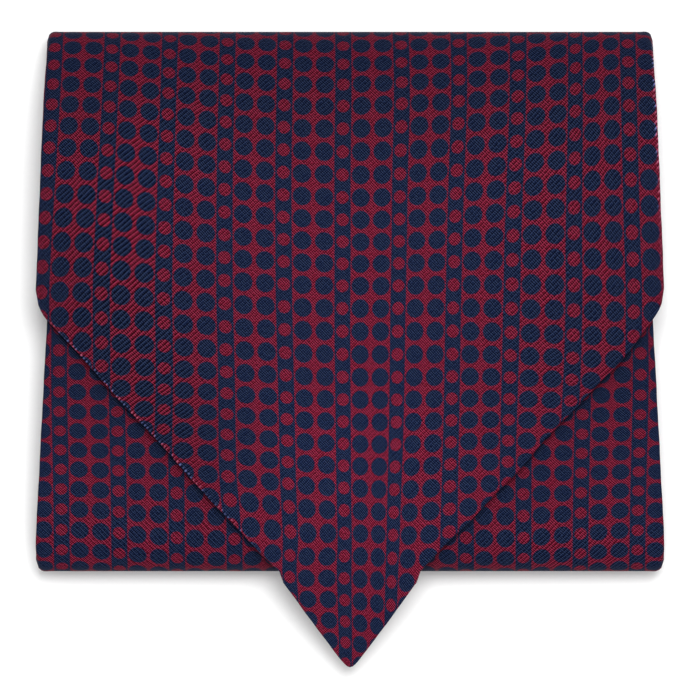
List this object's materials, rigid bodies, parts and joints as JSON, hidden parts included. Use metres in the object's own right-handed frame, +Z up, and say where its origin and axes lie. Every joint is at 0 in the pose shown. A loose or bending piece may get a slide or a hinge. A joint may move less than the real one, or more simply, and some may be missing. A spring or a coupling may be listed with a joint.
{
  "type": "folded silk cravat",
  "caption": "Silk day cravat folded flat, its pointed blade lying over the fold below, for display or packing.",
  "frame": {"origin": "middle of the bounding box's base, on the table, halfway across the blade and halfway between top fold and point", "axes": "+X across the blade to the right as seen from above, +Y from the point towards the top fold, +Z up off the table"},
  "size_m": [0.1552, 0.1567, 0.0188],
  "materials": {
    "front_silk": "woven silk twill, red ground with navy stripes and spots, soft sheen",
    "under_silk": "woven silk twill, red ground with navy stripes and spots, soft sheen",
    "table_silk": "woven silk twill, red ground with navy stripes and spots, soft sheen",
    "layer_silk": "edges of the same woven silk, in shade"
  },
  "bodies": {
    "root": {"front_blade": "front_silk", "under_blade": "under_silk", "table_stretch": "table_silk", "folded_layers": "layer_silk"}
  },
  "joints": []
}
